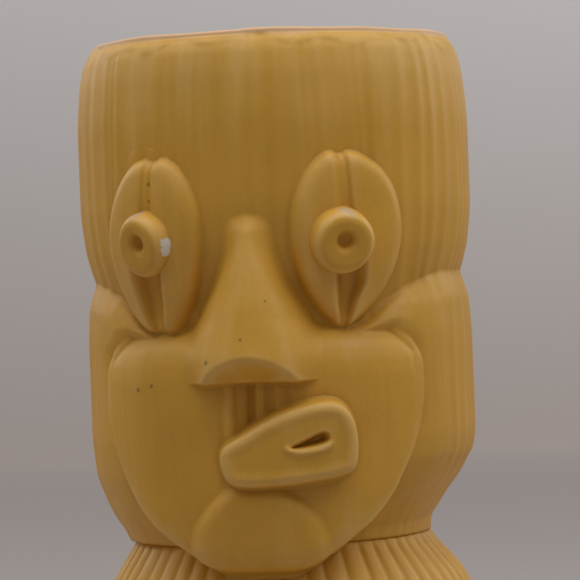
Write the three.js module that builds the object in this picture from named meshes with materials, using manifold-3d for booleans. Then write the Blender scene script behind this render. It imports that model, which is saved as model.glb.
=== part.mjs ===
// A ceramic tiki mug, as the clay pieces that a potter joins with slip before firing: two hollow cast
// vessels and a foot ring make the cup, and the hair, cheeks, eyes, nose and mouth are pressed on to it.
// Millimetres, +Z up. The face looks along -Y, so +X is the viewer's right.
// A place on the cup is [s, z]: s is the arc length from the middle of the face, measured on ARC_RADIUS,
// and z is the height above the table. Neighbouring pieces keep a gap of SLIP, which the slip fills.

import * as THREE from "three";
import { mergeVertices } from "three/addons/utils/BufferGeometryUtils.js";
import Module from "manifold-3d";

const wasm = await Module();
wasm.setup();

// ---------------------------------------------------------------- driving dimensions

const RIM_Z = 160;
const NECK_Z = 55.6; // where the head vessel meets the torso vessel
const FOOT_HEIGHT = 4;
const AXIS_Y = 4.2; // the cup's axis stands behind the bounding box's middle, as the nose reaches forward
const ARC_RADIUS = 42;
const SLIP = 0.3;
const SIDE_GAP = 0.4; // between two relief pieces that lie side by side, along the arc

const HEAD_FLUTES = 36;
const HEAD_FLUTE_DEPTH = 0.5;
const TORSO_RIBS = 44;
const TORSO_RIB_DEPTH = 1.0;

const SPIGOT = { outer: 28.6, inner: 26.4, length: 4.8 }; // the head's neck ring, in the torso's socket
const FOOT_RING = { outer: 35.4, inner: 29.5 };
const FOOT_MIDDLE = (FOOT_RING.outer + FOOT_RING.inner) / 2;
const TONGUE = { halfWidth: 1, height: 1.2 }; // the foot ring's tongue, in a groove under the torso

const SIDE_LOCK_END_DEG = 118; // where a side lock ends and the back hair begins
const FACE_TOP_Z = 98.4;
const FACE_BOTTOM_Z = 50.6;
const NOSE_BASE_Z = 89.2;
const NOSE_TOP_Z = 122;
const LIP_HALF_WIDTH = 6.6; // the grooved upper lip, between the cheeks

const SLIT_S = 18.9; // the slit of each eye
const SLIT_HALF_WIDTH = 0.4;
const SLIT_DEPTH = 2; // the outer lid slopes down into the slit
const EYE_TOP_Z = 134.2;
const EYE_BOTTOM_Z = 99.4;

// The pupils are buttons pressed on by hand: the left one looks far outwards.
const PUPIL = { radius: 6.4, height: 5.6, edge: 1.5, dimple: 1.3, dimpleDepth: 1.4, tiltDeg: 13 };
const PUPIL_SEATS = {
  left: { s: -19.4, z: 117.6, radius: 42, turnDeg: -45 },
  right: { s: 18.6, z: 117.4, radius: 42, turnDeg: 25 },
};

// The head's lower edge leans: it ends higher on the viewer's right than on the left.
const LEAN = 3.2;
const LEAN_TOP_Z = 78;
const LEAN_BOTTOM_Z = 63;

// ---------------------------------------------------------------- curves

// A smooth function through [x, y] points given in rising x, flat beyond its ends, that never overshoots.
function through(points) {
  const slopes = points.slice(1).map(([x, y], i) => (y - points[i][1]) / (x - points[i][0]));
  const tangents = points.map((_, i) => {
    const before = slopes[i - 1];
    const after = slopes[i];
    if (before === undefined || after === undefined) return before ?? after;
    return before * after <= 0 ? 0 : (2 * before * after) / (before + after);
  });
  return (x) => {
    if (x <= points[0][0]) return points[0][1];
    if (x >= points.at(-1)[0]) return points.at(-1)[1];
    const i = points.findIndex(([px]) => px >= x) - 1;
    const [x0, y0] = points[i];
    const [x1, y1] = points[i + 1];
    const h = x1 - x0;
    const t = (x - x0) / h;
    const bend = (a, b) => a * t * (1 - t) ** 2 - b * t * t * (1 - t);
    return y0 + (y1 - y0) * t * t * (3 - 2 * t) + h * bend(tangents[i], tangents[i + 1]);
  };
}

const steps = (from, to, count) =>
  Array.from({ length: count + 1 }, (_, i) => from + ((to - from) * i) / count);

// Heights where neighbouring relief pieces both have a row of points, so that their shared outlines stay
// parallel. The upper lip begins at LIP_Z, above the chin.
const CHEEK_BOTTOM_Z = 55.3;
const HAIR_BOTTOM_Z = 57;
const HAIR_TOP_Z = 108.4;
const LIP_Z = 68;
const LIP_TOP_Z = NOSE_BASE_Z - SIDE_GAP;
const FACE_ROWS = [FACE_BOTTOM_Z, 51.6, 53.5, CHEEK_BOTTOM_Z, HAIR_BOTTOM_Z, 60, 64, LIP_Z, 74, 84, LIP_TOP_Z,
  NOSE_BASE_Z, 92, 94, 96, FACE_TOP_Z];
const rowsBetween = (from, to) => FACE_ROWS.filter((z) => z >= from && z <= to);

// Outer radius of each vessel by height, to the crests of its flutes or ribs.
const headRadius = through([
  [NECK_Z, 30.4], [58, 30.9], [62, 32.6], [66, 34.8], [70, 36.6], [76, 37.7], [104, 37.8], [108.5, 38.4],
  [112, 39.5], [117, 40.6], [126, 41.4], [140, 41.5], [150, 40.9], [155, 40.1], [158, 38.9], [RIM_Z, 37.4],
]);
const torsoRadius = through([
  [FOOT_HEIGHT + SLIP, 35.2], [8, 37.2], [14, 38.9], [24, 40.6], [33, 41], [40, 40], [46, 37.8], [50.5, 35.2],
  [53.6, 33.1], [NECK_Z - SLIP, 31.8],
]);
const cupRadius = (z) => (z > NECK_Z - SLIP ? headRadius(z) : torsoRadius(z));

// Outer radius of the hair below the brow, and of the jaw and cheeks in the middle of the face.
const lockRadius = through([
  [HAIR_BOTTOM_Z, 32.6], [60, 34.4], [64, 36.9], [68, 38.7], [72, 40.3], [78, 40.8], [96, 40.8], [103, 40.4],
  [106.5, 39.7], [109, 38.9],
]);
const jawRadius = through([
  [FACE_BOTTOM_Z, 39.4], [53, 40.8], [58, 41.6], [66, 42.4], [76, 42.9], [92, 43.2], [96, 42.9],
  [FACE_TOP_Z, 41.6],
]);

// Arc lengths of the outlines, by height.
const faceEdge = through([
  [FACE_BOTTOM_Z, 7.5], [51.6, 10.5], [53.5, 14.6], [57, 20], [62, 26], [66, 29.6], [74, 34.4], [84, 37.8],
  [92, 38.2], [96, 36.9], [FACE_TOP_Z, 33],
]);
const lockEdgeAboveFace = through([
  [FACE_TOP_Z, 24.5], [100.5, 28], [103, 31.2], [106, 36.4], [108.6, 46],
]);
const noseEdge = through([
  [NOSE_BASE_Z, 12.2], [92, 12.1], [97, 10.8], [106, 8], [115, 5.2], [NOSE_TOP_Z, 3.4],
]);
const eyeInnerEdge = through([
  [EYE_BOTTOM_Z, 17.2], [101, 15.6], [104, 13.2], [108, 11.2], [113, 9.6], [120, 8.7], [125, 9.7],
  [129, 11.9], [132.5, 15], [EYE_TOP_Z, 17.4],
]);
const eyeOuterEdge = through([
  [EYE_BOTTOM_Z, 20.6], [101, 23.4], [104, 25.9], [108, 28.8], [113, 31.6], [120, 32.6], [125, 31.2],
  [129, 28.8], [132.5, 24.6], [EYE_TOP_Z, 20.8],
]);
const chinHalfWidth = through([
  [FACE_BOTTOM_Z, 7.5], [51.6, 10.5], [53.5, 14], [CHEEK_BOTTOM_Z, 14.4], [57, 14.2], [62, 11.9], [66, 8.6],
  [LIP_Z, LIP_HALF_WIDTH],
]);
const cheekInnerEdge = (z) => {
  if (z >= NOSE_BASE_Z) return noseEdge(z) + SIDE_GAP;
  if (z > LIP_Z) return LIP_HALF_WIDTH + SIDE_GAP;
  return chinHalfWidth(z) + SIDE_GAP;
};

// ---------------------------------------------------------------- solids

const onCup = ([s, z], radius) => [
  radius * Math.sin(s / ARC_RADIUS),
  -radius * Math.cos(s / ARC_RADIUS),
  z,
];

// How far a pressed piece's face drops at distance edge from its outline, for a rounded border.
function borderDrop(edge, round) {
  const short = Math.max(0, 1 - edge / round);
  return round * 0.7 * short * short;
}

// A closed solid between two radii, over a patch of the cup. place(u, v) is [s, z], with u running to the
// viewer's right and v upwards, and back and front give a radius at [s, z].
function reliefGeometry({ place, us, vs, back, front }) {
  const positions = [];
  for (const radius of [back, front])
    for (const v of vs)
      for (const u of us) {
        const at = place(u, v);
        positions.push(...onCup(at, radius(...at)));
      }
  const layer = us.length * vs.length;
  const index = (i, j, side) => side * layer + j * us.length + i;
  const triangles = [];
  const quad = (a, b, c, d) => triangles.push(a, b, c, a, c, d);
  const lastI = us.length - 1;
  const lastJ = vs.length - 1;
  for (let j = 0; j < lastJ; j++)
    for (let i = 0; i < lastI; i++) {
      quad(index(i, j, 1), index(i + 1, j, 1), index(i + 1, j + 1, 1), index(i, j + 1, 1));
      quad(index(i, j, 0), index(i, j + 1, 0), index(i + 1, j + 1, 0), index(i + 1, j, 0));
    }
  for (let i = 0; i < lastI; i++) {
    quad(index(i, 0, 0), index(i + 1, 0, 0), index(i + 1, 0, 1), index(i, 0, 1));
    quad(index(i, lastJ, 1), index(i + 1, lastJ, 1), index(i + 1, lastJ, 0), index(i, lastJ, 0));
  }
  for (let j = 0; j < lastJ; j++) {
    quad(index(0, j, 0), index(0, j, 1), index(0, j + 1, 1), index(0, j + 1, 0));
    quad(index(lastI, j, 1), index(lastI, j, 0), index(lastI, j + 1, 0), index(lastI, j + 1, 1));
  }
  const geometry = new THREE.BufferGeometry();
  geometry.setAttribute("position", new THREE.Float32BufferAttribute(positions, 3));
  geometry.setIndex(triangles);
  return geometry;
}

// A relief piece whose rows are level: left(z) and right(z) are its sides and surface(s, z) its face before
// the border is rounded.
function levelRelief({ heights, left, right, surface, columns = 8, round = 1.5 }) {
  const vs = heights.map((_, j) => j);
  const bottom = heights[0];
  const top = heights.at(-1);
  const place = (u, v) => [left(heights[v]) + (right(heights[v]) - left(heights[v])) * u, heights[v]];
  const back = (s, z) => cupRadius(z) + SLIP;
  const front = (s, z) => {
    const edge = Math.min(s - left(z), right(z) - s, z - bottom, top - z);
    return surface(s, z) - borderDrop(Math.max(0, edge), round);
  };
  const border = 0.05;
  const us = [0, ...steps(border, 1 - border, columns), 1];
  return reliefGeometry({ place, us, vs, back, front });
}

// A vessel turned from a profile of [radius, height] points, with every other column of its carved points
// set in by depth to make the flutes. carved(j) says whether profile point j is on the fluted outside.
function flutedVessel(profile, count, depth, carved) {
  const columns = 2 * count;
  const geometry = new THREE.LatheGeometry(profile.map(([r, z]) => new THREE.Vector2(r, z)), columns);
  geometry.rotateX(Math.PI / 2);
  const position = geometry.getAttribute("position");
  for (let i = 1; i < columns; i += 2)
    for (let j = 0; j < profile.length; j++) {
      if (!carved(j)) continue;
      const k = i * profile.length + j;
      const shrink = 1 - depth / Math.hypot(position.getX(k), position.getY(k));
      position.setXY(k, position.getX(k) * shrink, position.getY(k) * shrink);
    }
  return geometry;
}

// ---------------------------------------------------------------- cutting, with manifold-3d

function toManifold(geometry, matrix = new THREE.Matrix4()) {
  const plain = new THREE.BufferGeometry();
  plain.setAttribute("position", geometry.getAttribute("position").clone());
  if (geometry.index) plain.setIndex(geometry.index.clone());
  plain.applyMatrix4(matrix);
  const merged = mergeVertices(plain, 1e-4);
  return new wasm.Manifold(
    new wasm.Mesh({
      numProp: 3,
      vertProperties: merged.getAttribute("position").array,
      triVerts: new Uint32Array(merged.index.array),
    }),
  );
}

function fromManifold(solid) {
  const mesh = solid.getMesh();
  const geometry = new THREE.BufferGeometry();
  geometry.setAttribute("position", new THREE.BufferAttribute(mesh.vertProperties, 3));
  geometry.setIndex(new THREE.BufferAttribute(mesh.triVerts, 1));
  geometry.computeVertexNormals();
  return geometry;
}

// ---------------------------------------------------------------- the cup

function headVesselGeometry() {
  const outside = [NECK_Z, 58, 63, 70, 76, 104, 109, 114, 124, 140, 150, 155, 158, RIM_Z]
    .map((z) => [headRadius(z), z]);
  const inside = [[35.9, RIM_Z - 0.2], [35.4, 157.4], [36.9, 140], [36.2, 121], [33.8, 107], [33.2, 76],
    [SPIGOT.inner, NECK_Z]];
  const spigot = [[SPIGOT.inner, NECK_Z - SPIGOT.length], [SPIGOT.outer, NECK_Z - SPIGOT.length],
    [SPIGOT.outer, NECK_Z]];
  return flutedVessel([...outside, ...inside, ...spigot, outside[0]], HEAD_FLUTES, HEAD_FLUTE_DEPTH,
    (j) => j > 0 && j < outside.length - 2);
}

function torsoVesselGeometry() {
  const underside = FOOT_HEIGHT + SLIP;
  const grooveTop = underside + TONGUE.height + SLIP;
  const grooveInner = FOOT_MIDDLE - TONGUE.halfWidth - SLIP;
  const grooveOuter = FOOT_MIDDLE + TONGUE.halfWidth + SLIP;
  const bottom = [[0, underside], [grooveInner, underside], [grooveInner, grooveTop],
    [grooveOuter, grooveTop], [grooveOuter, underside]];
  const outside = [underside, 8, 14, 24, 33, 40, 46, 50.5, NECK_Z - SLIP].map((z) => [torsoRadius(z), z]);
  const socketRadius = SPIGOT.outer + SLIP;
  const socketFloor = NECK_Z - SPIGOT.length - SLIP;
  const inside = [[socketRadius, NECK_Z - SLIP], [socketRadius, socketFloor], [26.6, socketFloor], [34, 41],
    [36.4, 32], [34.6, 17], [30, 10.6], [0, 9.6]];
  const first = bottom.length;
  return flutedVessel([...bottom, ...outside, ...inside], TORSO_RIBS, TORSO_RIB_DEPTH,
    (j) => j > first && j < first + outside.length - 1);
}

function footRingGeometry() {
  const inner = FOOT_MIDDLE - TONGUE.halfWidth;
  const outer = FOOT_MIDDLE + TONGUE.halfWidth;
  const tongueTop = FOOT_HEIGHT + TONGUE.height;
  const profile = [[FOOT_RING.inner, 0], [FOOT_RING.outer - 1, 0], [FOOT_RING.outer, FOOT_HEIGHT],
    [outer, FOOT_HEIGHT], [outer, tongueTop], [inner, tongueTop], [inner, FOOT_HEIGHT],
    [FOOT_RING.inner, FOOT_HEIGHT], [FOOT_RING.inner, 0]];
  const columns = 48;
  const points = profile.map(([r, z]) => new THREE.Vector2(r, z));
  return new THREE.LatheGeometry(points, columns).rotateX(Math.PI / 2);
}

// ---------------------------------------------------------------- hair

// The hair's face below the brow, with its lower edge leaning.
function hairRadius(s, z) {
  const fade = THREE.MathUtils.clamp((LEAN_TOP_Z - z) / (LEAN_TOP_Z - LEAN_BOTTOM_Z), 0, 1);
  return lockRadius(z - LEAN * fade * Math.sin(s / ARC_RADIUS));
}

// One side lock, on the viewer's right for side 1 and on the left for side -1. It wraps over the cheek's
// top corner.
function sideLockGeometry(side) {
  const end = THREE.MathUtils.degToRad(SIDE_LOCK_END_DEG) * ARC_RADIUS;
  const start = (z) => (z > FACE_TOP_Z ? lockEdgeAboveFace(z) : faceEdge(z) + SIDE_GAP);
  return levelRelief({
    heights: [...rowsBetween(HAIR_BOTTOM_Z, FACE_TOP_Z), FACE_TOP_Z + SIDE_GAP, 101, 103.5, 106, HAIR_TOP_Z],
    left: (z) => (side > 0 ? start(z) : -end),
    right: (z) => (side > 0 ? end : -start(z)),
    surface: hairRadius,
    columns: 10,
    round: 1.2,
  });
}

function backHairGeometry() {
  const start = THREE.MathUtils.degToRad(SIDE_LOCK_END_DEG) * ARC_RADIUS + SIDE_GAP;
  const end = 2 * Math.PI * ARC_RADIUS - start;
  return levelRelief({
    heights: [HAIR_BOTTOM_Z, 60, 64, 68, 74, 84, 96, 103, 106, HAIR_TOP_Z],
    left: () => start,
    right: () => end,
    surface: hairRadius,
    columns: 14,
    round: 1.2,
  });
}

// ---------------------------------------------------------------- the face

// The face's own surface, which cheeks, chin, lip and mouth share. It falls away towards the hair.
const FACE_HALF_WIDTH = 39.8;
const FACE_FALL = 2.2;
const faceRadius = (s, z) => jawRadius(z) - FACE_FALL * (Math.abs(s) / FACE_HALF_WIDTH) ** 4;

function cheekGeometry(side) {
  return levelRelief({
    heights: rowsBetween(CHEEK_BOTTOM_Z, FACE_TOP_Z),
    left: (z) => (side > 0 ? cheekInnerEdge(z) : -faceEdge(z)),
    right: (z) => (side > 0 ? faceEdge(z) : -cheekInnerEdge(z)),
    surface: faceRadius,
    round: 1.8,
  });
}

function chinGeometry() {
  const proud = 2.4;
  const roundHalfWidth = 15;
  const top = LIP_Z - 0.1;
  const swell = (s, z) =>
    proud * Math.sqrt(Math.max(0, 1 - (s / roundHalfWidth) ** 2)) * Math.min(1, (top + 0.5 - z) / 6);
  return levelRelief({
    heights: [...rowsBetween(FACE_BOTTOM_Z, LIP_Z - 1), top],
    left: (z) => -chinHalfWidth(z),
    right: chinHalfWidth,
    surface: (s, z) => faceRadius(s, z) + swell(s, z),
    round: 1.6,
  });
}

// The strip between nose and mouth, with upright ridges that run out behind the mouth.
function upperLipGeometry() {
  const ridges = 3;
  const recess = 1.6;
  const ridgeHeight = 1.2;
  const wave = (s) => Math.cos((s / LIP_HALF_WIDTH) * (ridges - 1) * (Math.PI / 2)) ** 2;
  const uncovered = (z) => THREE.MathUtils.clamp((z - LIP_Z) / 8, 0, 1);
  return levelRelief({
    heights: [LIP_Z + SIDE_GAP, 76, 84, LIP_TOP_Z],
    left: () => -LIP_HALF_WIDTH,
    right: () => LIP_HALF_WIDTH,
    surface: (s, z) => faceRadius(s, z) - (recess + ridgeHeight * (1 - wave(s))) * uncovered(z),
    columns: 14,
    round: 0.5,
  });
}

// A long wedge that widens to the nostrils, with an underside that slopes back to the lip.
function noseGeometry() {
  const ridge = through([
    [NOSE_BASE_Z, 43.8], [91, 46.6], [93.6, 49.8], [96, 49.9], [103, 48], [112, 45.4], [119, 43.6],
    [NOSE_TOP_Z, 42.2],
  ]);
  const side = through([
    [NOSE_BASE_Z, 42.6], [93, 42.4], [100, 40.2], [108, 39.6], [116, 41.2], [NOSE_TOP_Z, 41.7],
  ]);
  const roundness = 2.4;
  return levelRelief({
    heights: [...rowsBetween(NOSE_BASE_Z, FACE_TOP_Z), 102, 106, 111, 115, 119, NOSE_TOP_Z],
    left: (z) => -noseEdge(z),
    right: noseEdge,
    surface: (s, z) => side(z) + (ridge(z) - side(z)) * (1 - Math.abs(s / noseEdge(z)) ** roundness),
    columns: 8,
    round: 0.4,
  });
}

// A pad of crooked lips, set to the viewer's right, with a slit pressed into it.
function mouthGeometry() {
  const left = -6.4;
  const right = 19.4;
  const top = through([
    [left, 74.2], [-4.6, 76.6], [0, 79], [6, 82.2], [11, 84.4], [15.4, 84.6], [18.2, 81.4], [right, 78],
  ]);
  const bottom = through([
    [left, 72], [-5, 69.6], [-1, 68.3], [6, 68.1], [13, 68.9], [17.4, 70.2], [right, 73],
  ]);
  const thickness = 4.4;
  const round = 1.4;
  const us = [0, 0.02, 0.06, 0.14, 0.24, 0.36, 0.48, 0.6, 0.72, 0.82, 0.9, 0.96, 0.99, 1];
  const vs = [0, 0.06, 0.14, 0.5, 0.86, 0.94, 1];
  const place = (u, v) => {
    const s = left + (right - left) * u;
    return [s, bottom(s) + (top(s) - bottom(s)) * v];
  };
  const front = (s, z) => {
    const edge = Math.min(s - left, right - s, top(s) - z, z - bottom(s));
    return faceRadius(s, z) + thickness - borderDrop(Math.max(0, edge), round);
  };
  const pad = reliefGeometry({ place, us, vs, back: (s, z) => faceRadius(s, z) + SLIP, front });
  return fromManifold(toManifold(pad).subtract(toManifold(mouthSlitGeometry(thickness))));
}

// The tool that presses the slit: a wedge, taller towards the viewer's right, reaching below the lips' face.
function mouthSlitGeometry(thickness) {
  const depth = 3;
  const left = 6.2;
  const right = 14;
  const lower = (s) => 74.9 + 0.08 * (s - left);
  const upper = through([[left, 75.4], [9, 77], [12.6, 78.7], [right, 77.8]]);
  return reliefGeometry({
    place: (u, v) => {
      const s = left + (right - left) * u;
      return [s, lower(s) + (upper(s) - lower(s)) * v];
    },
    us: [0, 0.36, 0.82, 1],
    vs: [0, 1],
    back: (s, z) => faceRadius(s, z) + thickness - depth,
    front: (s, z) => faceRadius(s, z) + thickness + depth,
  });
}

// ---------------------------------------------------------------- the eyes

// The pupil's own frame: its seat on the cup, turned outwards and tilted down, with +Z along its axis.
function pupilMatrix({ s, z, radius, turnDeg }) {
  const turn = new THREE.Matrix4().makeRotationZ(THREE.MathUtils.degToRad(turnDeg));
  const tilt = new THREE.Matrix4().makeRotationX(Math.PI / 2 + THREE.MathUtils.degToRad(PUPIL.tiltDeg));
  return new THREE.Matrix4().makeTranslation(...onCup([s, z], radius)).multiply(turn).multiply(tilt);
}

// A button with a rounded edge and a dimple. grow widens it, for the pocket it sits in.
function pupilGeometry(grow = 0) {
  const { radius, height, edge, dimple, dimpleDepth } = PUPIL;
  const side = [[0, -grow], [radius + grow, -grow], [radius + grow, height - edge],
    [radius - 0.3 * edge + grow, height - 0.3 * edge]];
  const face = grow
    ? [[radius - edge + grow, height + grow], [0, height + grow]]
    : [[radius - edge, height], [dimple + 0.8, height], [dimple, height - 0.5 * dimpleDepth],
      [0, height - dimpleDepth]];
  const columns = 24;
  const points = [...side, ...face].map(([r, z]) => new THREE.Vector2(r, z));
  return new THREE.LatheGeometry(points, columns).rotateX(Math.PI / 2);
}

// Half of a leaf-shaped eye, beside the slit, with a pocket for the pupil. side picks the eye, and lid is -1
// for the half on the slit's left and 1 for the half on its right. The outer half slopes down into the slit.
function lidGeometry(side, lid, seat) {
  const slit = side * SLIT_S;
  const near = slit + lid * SLIT_HALF_WIDTH;
  const outer = side === lid;
  const far = (z) => side * (outer ? eyeOuterEdge(z) : eyeInnerEdge(z));
  const crest = through([
    [EYE_BOTTOM_Z, 41.2], [104, 42], [110, 43.2], [117, 44.1], [126, 44.3], [EYE_TOP_Z, 43.4],
  ]);
  const outline = through([[EYE_BOTTOM_Z, 39.8], [106, 40.2], [112, 41.2], [120, 42.2], [EYE_TOP_Z, 42.6]]);
  const slopeWidth = 2.6;
  const slope = (s) => (outer ? SLIT_DEPTH * Math.max(0, 1 - Math.abs(s - near) / slopeWidth) : 0);
  const across = (s, z) => Math.abs((s - near) / (far(z) - near));
  const pad = levelRelief({
    heights: [EYE_BOTTOM_Z, 101, 104, 108, 113, 120, 125, 129, 132.5, EYE_TOP_Z],
    left: (z) => (lid > 0 ? near : far(z)),
    right: (z) => (lid > 0 ? far(z) : near),
    surface: (s, z) => outline(z) + (crest(z) - outline(z)) * (1 - across(s, z) ** 2.4) - slope(s),
    columns: 5,
    round: 0.8,
  });
  return fromManifold(toManifold(pad).subtract(toManifold(pupilGeometry(SLIP), pupilMatrix(seat))));
}

// ---------------------------------------------------------------- assembly

const glaze = new THREE.MeshStandardMaterial({ color: 0xc9963f, roughness: 0.42, metalness: 0 });
const bareClay = new THREE.MeshStandardMaterial({ color: 0xd9cfba, roughness: 0.85, metalness: 0 });

const mug = new THREE.Group();
mug.position.y = AXIS_Y;

function add(name, geometry, material = glaze) {
  const mesh = new THREE.Mesh(geometry, material);
  mesh.name = name;
  mug.add(mesh);
  return mesh;
}

add("foot_ring", footRingGeometry(), bareClay);
add("torso_vessel", torsoVesselGeometry());
add("head_vessel", headVesselGeometry());
add("back_hair", backHairGeometry());
add("chin", chinGeometry());
add("upper_lip", upperLipGeometry());
add("nose", noseGeometry());
add("mouth", mouthGeometry());

for (const [sideName, side] of [["left", -1], ["right", 1]]) {
  add(`side_lock_${sideName}`, sideLockGeometry(side));
  add(`cheek_${sideName}`, cheekGeometry(side));
  const seat = PUPIL_SEATS[sideName];
  add(`eye_${sideName}_inner_lid`, lidGeometry(side, -side, seat));
  add(`eye_${sideName}_outer_lid`, lidGeometry(side, side, seat));
  add(`pupil_${sideName}`, pupilGeometry()).applyMatrix4(pupilMatrix(seat));
}

export default mug;
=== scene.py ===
import math

import bpy
import numpy as np
from mathutils import Matrix, Vector


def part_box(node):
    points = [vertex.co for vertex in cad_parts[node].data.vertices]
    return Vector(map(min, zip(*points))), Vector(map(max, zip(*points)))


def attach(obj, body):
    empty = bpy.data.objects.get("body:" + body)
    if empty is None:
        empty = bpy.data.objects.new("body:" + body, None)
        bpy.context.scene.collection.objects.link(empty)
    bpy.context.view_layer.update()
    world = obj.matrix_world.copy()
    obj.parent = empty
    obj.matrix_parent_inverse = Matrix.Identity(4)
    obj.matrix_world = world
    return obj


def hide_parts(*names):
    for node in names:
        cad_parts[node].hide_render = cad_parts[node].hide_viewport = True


# A glazed ceramic tiki mug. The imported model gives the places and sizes, and every visible piece is built
# here as a closed mesh. Lengths are in millimetres until a mesh is made.
# A place on the cup is (s, z): s is the arc length from the middle of the face, measured on ARC_RADIUS and
# running to the viewer's right, and z is the height above the table. The outside of the mug is one surface,
# radius(s, z), made in layers: cup, hair, face, eyes, nose, mouth. A piece samples the surface up to its own
# layer and runs a little way under its neighbours, so the glaze looks continuous over all of them.

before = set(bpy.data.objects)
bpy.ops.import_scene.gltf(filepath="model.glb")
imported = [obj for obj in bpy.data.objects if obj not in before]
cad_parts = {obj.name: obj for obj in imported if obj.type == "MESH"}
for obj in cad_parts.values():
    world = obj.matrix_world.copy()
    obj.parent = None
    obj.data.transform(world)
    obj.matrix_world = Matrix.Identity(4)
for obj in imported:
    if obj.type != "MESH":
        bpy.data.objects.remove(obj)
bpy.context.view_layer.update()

MM = 0.001
BODY = "root"
SIDES = {-1: "left", 1: "right"}  # as the viewer sees them; a side's number is also its sign along s


def box_mm(node):
    low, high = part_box(node)
    return np.array(low) / MM, np.array(high) / MM


# ---------------------------------------------------------------- sizes, from the frame

HEAD_LOW, HEAD_HIGH = box_mm("head_vessel")
TORSO_LOW, TORSO_HIGH = box_mm("torso_vessel")
FOOT_HIGH = box_mm("foot_ring")[1]
NOSE_LOW, NOSE_HIGH = box_mm("nose")
EYE_LOW, EYE_HIGH = box_mm("eye_left_inner_lid")
HAIR_LOW, HAIR_HIGH = box_mm("back_hair")
CHIN_LOW = box_mm("chin")[0]

AXIS_X, AXIS_Y = (HEAD_LOW + HEAD_HIGH)[:2] / 2
RIM_Z = HEAD_HIGH[2]
NECK_Z = TORSO_HIGH[2] + 0.3
TORSO_BOTTOM_Z = TORSO_LOW[2] - 0.3
EYE_BOTTOM_Z, EYE_TOP_Z = EYE_LOW[2], EYE_HIGH[2]
NOSE_BASE_Z, NOSE_TOP_Z = NOSE_LOW[2], NOSE_HIGH[2]
HAIR_BOTTOM_Z, HAIR_TOP_Z = HAIR_LOW[2], HAIR_HIGH[2]
FACE_BOTTOM_Z = CHIN_LOW[2]
FACE_TOP_Z = 99.2
LIP_Z = 68.0
LIP_HALF_WIDTH = 6.8

ARC_RADIUS = 42.0
TURN = 2 * math.pi * ARC_RADIUS
SIDE_LOCK_END = math.radians(118) * ARC_RADIUS

OVERLAP = 0.35  # how far a piece stays on the shared surface past its own outline
SINK = 0.3  # how deep it then dips under its neighbour
SINK_WIDTH = 0.6
TUCK = 0.02  # keeps a piece just under a neighbour where the two share a surface
EMBED = 0.8  # how far a pressed piece's back lies under the surface it sits on


# ---------------------------------------------------------------- curves

def through(points):
    """A smooth function through (x, y) points in rising x, flat beyond its ends, that never overshoots."""
    x, y = np.array(points, float).T
    h = np.diff(x)
    slope = np.diff(y) / h
    tangent = np.concatenate([slope[:1], np.zeros(len(x) - 2), slope[-1:]])
    same = slope[:-1] * slope[1:] > 0
    tangent[1:-1][same] = 2 * (slope[:-1] * slope[1:])[same] / (slope[:-1] + slope[1:])[same]

    def curve(at):
        at = np.clip(at, x[0], x[-1])
        i = np.clip(np.searchsorted(x, at, side="right") - 1, 0, len(h) - 1)
        t = (at - x[i]) / h[i]
        rise = (y[i + 1] - y[i]) * t * t * (3 - 2 * t)
        bend = tangent[i] * t * (1 - t) ** 2 - tangent[i + 1] * t * t * (1 - t)
        return y[i] + rise + h[i] * bend

    return curve


def around(s):
    """The arc length s brought into the half turn on either side of the face's middle."""
    return (s + TURN / 2) % TURN - TURN / 2


def fade(x, start, end):
    """0 before start, 1 after end, smooth between; start may lie above end."""
    t = np.clip((x - start) / (end - start), 0, 1)
    return t * t * (3 - 2 * t)


def smooth_max(a, b, width):
    """The larger of a and b, with a fillet where they are closer than width."""
    near = np.maximum(width - np.abs(a - b), 0) / width
    return np.maximum(a, b) + near * near * width / 4


def smooth_min(a, b, width):
    return -smooth_max(-a, -b, width)


def quarter_round(edge, width, height):
    """How far a rounded border drops at distance edge inside its outline; steep beyond the outline."""
    t = np.clip(1 - edge / width, 0, 1)
    return height * (1 - np.sqrt(np.maximum(1 - t * t, 0))) + 3.0 * np.maximum(-edge, 0)


def closed_outline(corners, rounds=3):
    """A closed outline through rough corners, rounded by cutting each corner a few times."""
    points = np.array(corners, float)
    for _ in range(rounds):
        ahead = np.roll(points, -1, axis=0)
        points = np.stack([0.75 * points + 0.25 * ahead, 0.25 * points + 0.75 * ahead], 1).reshape(-1, 2)
    return points


def inside_distance(outline):
    """A function giving the distance of (s, z) from a closed outline, positive inside it."""
    start = np.array(outline, float)
    end = np.roll(start, -1, axis=0)
    run = end - start
    length2 = np.maximum((run**2).sum(1), 1e-12)

    def distance(s, z):
        flat_s, flat_z = np.ravel(s), np.ravel(z)
        best = np.full(flat_s.shape, 1e9)
        inside = np.zeros(flat_s.shape, bool)
        for (s0, z0), (s1, z1), (ds, dz), l2 in zip(start, end, run, length2):
            t = np.clip(((flat_s - s0) * ds + (flat_z - z0) * dz) / l2, 0, 1)
            best = np.minimum(best, (flat_s - s0 - t * ds) ** 2 + (flat_z - z0 - t * dz) ** 2)
            if z0 != z1:
                crosses = (z0 > flat_z) != (z1 > flat_z)
                inside ^= crosses & (flat_s < s0 + (flat_z - z0) / (z1 - z0) * (s1 - s0))
        return np.where(inside, 1, -1).reshape(np.shape(s)) * np.sqrt(best).reshape(np.shape(s))

    return distance


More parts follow.
